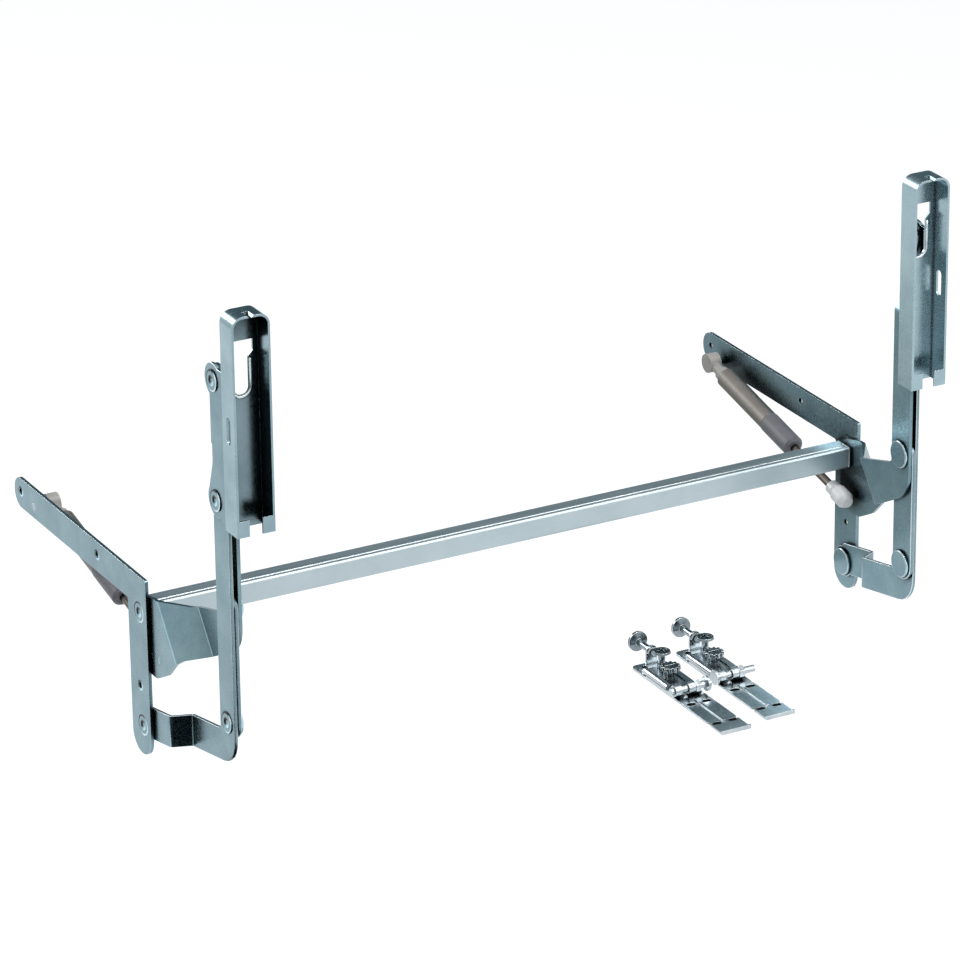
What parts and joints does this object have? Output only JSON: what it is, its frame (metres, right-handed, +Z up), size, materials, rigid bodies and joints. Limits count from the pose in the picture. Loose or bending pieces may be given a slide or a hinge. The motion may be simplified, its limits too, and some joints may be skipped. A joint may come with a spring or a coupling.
{
  "type": "lift-up door mechanism",
  "caption": "Parallel lift-up mechanism for a cabinet door: mirrored lever sets on side plates, a crossbar, gas struts and a pair of adjustable door fixing brackets.",
  "frame": {"origin": "centre of the left side plate's front screw hole, on the face that lies on the cabinet wall", "axes": "+X along the crossbar from the left plate to the right, +Y into the cabinet, +Z up"},
  "size_m": [0.564, 0.374, 0.36],
  "materials": {
    "pressed_steel": "satin zinc-plated pressed steel",
    "bright_steel": "bright zinc-plated steel",
    "bar_aluminium": "satin anodised",
    "strut_paint": "satin",
    "cap_plastic": "fine matte",
    "socket_plastic": "matte",
    "white_plastic": "satin",
    "rod_steel": "dark polished",
    "zinc_hardware": "bright zinc"
  },
  "bodies": {
    "side_plates": {"left_side_plate": "pressed_steel", "right_side_plate": "pressed_steel", "left_plate_rivets": "pressed_steel", "right_plate_rivets": "pressed_steel", "left_rear_stud": "bright_steel", "right_rear_stud": "bright_steel", "first_fixing_base": "zinc_hardware", "second_fixing_base": "zinc_hardware", "first_hook_nut": "zinc_hardware", "second_hook_nut": "zinc_hardware"},
    "upper_levers": {"crossbar": "bar_aluminium", "left_upper_lever": "pressed_steel", "left_upper_lever_rivets": "pressed_steel", "left_front_stud": "bright_steel", "left_bar_socket": "pressed_steel", "right_upper_lever": "pressed_steel", "right_upper_lever_rivets": "pressed_steel", "right_front_stud": "bright_steel", "right_bar_socket": "pressed_steel"},
    "left_lower_lever": {"left_lower_lever": "pressed_steel", "left_lower_lever_rivets": "pressed_steel"},
    "left_link": {"left_coupler_link": "pressed_steel"},
    "left_door_mount": {"left_door_bracket": "pressed_steel", "left_door_channel": "bright_steel"},
    "left_strut_rod": {"left_strut_rod": "rod_steel", "left_strut_piston": "cap_plastic", "left_front_socket": "white_plastic"},
    "left_strut_tube": {"left_strut_tube": "strut_paint", "left_strut_cap": "cap_plastic", "left_rear_socket": "socket_plastic"},
    "right_lower_lever": {"right_lower_lever": "pressed_steel", "right_lower_lever_rivets": "pressed_steel"},
    "right_link": {"right_coupler_link": "pressed_steel"},
    "right_door_mount": {"right_door_bracket": "pressed_steel", "right_door_channel": "bright_steel"},
    "right_strut_rod": {"right_strut_rod": "rod_steel", "right_strut_piston": "cap_plastic", "right_front_socket": "white_plastic"},
    "right_strut_tube": {"right_strut_tube": "strut_paint", "right_strut_cap": "cap_plastic", "right_rear_socket": "socket_plastic"},
    "first_carriage": {"first_fixing_carriage": "zinc_hardware", "first_lock_screw": "zinc_hardware", "first_clamp_bolt": "zinc_hardware"},
    "first_wheel": {"first_toothed_wheel": "zinc_hardware"},
    "first_hook": {"first_hook_screw": "zinc_hardware"},
    "second_carriage": {"second_fixing_carriage": "zinc_hardware", "second_lock_screw": "zinc_hardware", "second_clamp_bolt": "zinc_hardware"},
    "second_wheel": {"second_toothed_wheel": "zinc_hardware"},
    "second_hook": {"second_hook_screw": "zinc_hardware"}
  },
  "joints": [
    {"name": "lift", "type": "hinge", "parent": "side_plates", "child": "upper_levers", "pos_m": [0.282, -0.002, 0.055], "axis": [1, 0, 0], "range_deg": [0, 153], "stiffness_Nm_per_rad": 2, "springref_deg": -171.89},
    {"name": "left_lower_pivot", "type": "hinge", "parent": "side_plates", "child": "left_lower_lever", "pos_m": [0.004, -0.002, -0.029], "axis": [1, 0, 0], "range_deg": [0, 153]},
    {"name": "left_knee_pivot", "type": "hinge", "parent": "upper_levers", "child": "left_link", "pos_m": [0.0198, -0.103, 0.095], "axis": [1, 0, 0], "range_deg": [-153, 0]},
    {"name": "left_door_pivot", "type": "hinge", "parent": "upper_levers", "child": "left_door_mount", "pos_m": [0.0145, -0.103, 0.255], "axis": [1, 0, 0], "range_deg": [-153, 0]},
    {"name": "left_strut_pivot", "type": "hinge", "parent": "upper_levers", "child": "left_strut_rod", "pos_m": [0.014, -0.013, 0.027], "axis": [1, 0, 0], "range_deg": [-168.5, 0]},
    {"name": "left_strut_slide", "type": "slide", "parent": "left_strut_rod", "child": "left_strut_tube", "axis": [0, -0.9761, -0.2175], "range_m": [0, 0.038]},
    {"name": "right_lower_pivot", "type": "hinge", "parent": "side_plates", "child": "right_lower_lever", "pos_m": [0.56, -0.002, -0.029], "axis": [1, 0, 0], "range_deg": [0, 153]},
    {"name": "right_knee_pivot", "type": "hinge", "parent": "upper_levers", "child": "right_link", "pos_m": [0.5442, -0.103, 0.095], "axis": [1, 0, 0], "range_deg": [-153, 0]},
    {"name": "right_door_pivot", "type": "hinge", "parent": "upper_levers", "child": "right_door_mount", "pos_m": [0.5495, -0.103, 0.255], "axis": [1, 0, 0], "range_deg": [-153, 0]},
    {"name": "right_strut_pivot", "type": "hinge", "parent": "upper_levers", "child": "right_strut_rod", "pos_m": [0.55, -0.013, 0.027], "axis": [1, 0, 0], "range_deg": [-168.5, 0]},
    {"name": "right_strut_slide", "type": "slide", "parent": "right_strut_rod", "child": "right_strut_tube", "axis": [0, -0.9761, -0.2175], "range_m": [0, 0.038]},
    {"name": "first_carriage_slide", "type": "slide", "parent": "side_plates", "child": "first_carriage", "axis": [0, 1, 0], "range_m": [-0.002, 0.002]},
    {"name": "first_wheel_turn", "type": "hinge", "parent": "first_carriage", "child": "first_wheel", "pos_m": [0.372, -0.074, -0.048], "axis": [0, 0, 1], "range_deg": [-91, 91]},
    {"name": "first_hook_adjust", "type": "slide", "parent": "side_plates", "child": "first_hook", "axis": [0, 1, 0], "range_m": [-0.003, 0.003]},
    {"name": "second_carriage_slide", "type": "slide", "parent": "side_plates", "child": "second_carriage", "axis": [0, 1, 0], "range_m": [-0.002, 0.002]},
    {"name": "second_wheel_turn", "type": "hinge", "parent": "second_carriage", "child": "second_wheel", "pos_m": [0.4105, -0.0685, -0.048], "axis": [0, 0, 1], "range_deg": [-91, 91]},
    {"name": "second_hook_adjust", "type": "slide", "parent": "side_plates", "child": "second_hook", "axis": [0, 1, 0], "range_m": [-0.003, 0.003]}
  ],
  "couplings": [
    {"joint": "left_lower_pivot", "follows": "lift", "ratio": 1},
    {"joint": "left_knee_pivot", "follows": "lift", "ratio": -1},
    {"joint": "left_door_pivot", "follows": "lift", "ratio": -1},
    {"joint": "left_strut_pivot", "follows": "lift", "ratio": -1.0994},
    {"joint": "left_strut_slide", "follows": "lift", "m_per_rad": 0.01418},
    {"joint": "right_lower_pivot", "follows": "lift", "ratio": 1},
    {"joint": "right_knee_pivot", "follows": "lift", "ratio": -1},
    {"joint": "right_door_pivot", "follows": "lift", "ratio": -1},
    {"joint": "right_strut_pivot", "follows": "lift", "ratio": -1.0994},
    {"joint": "right_strut_slide", "follows": "lift", "m_per_rad": 0.01418},
    {"joint": "first_wheel_turn", "follows": "first_carriage_slide", "rad_per_m": 785},
    {"joint": "second_wheel_turn", "follows": "second_carriage_slide", "rad_per_m": 785}
  ]
}
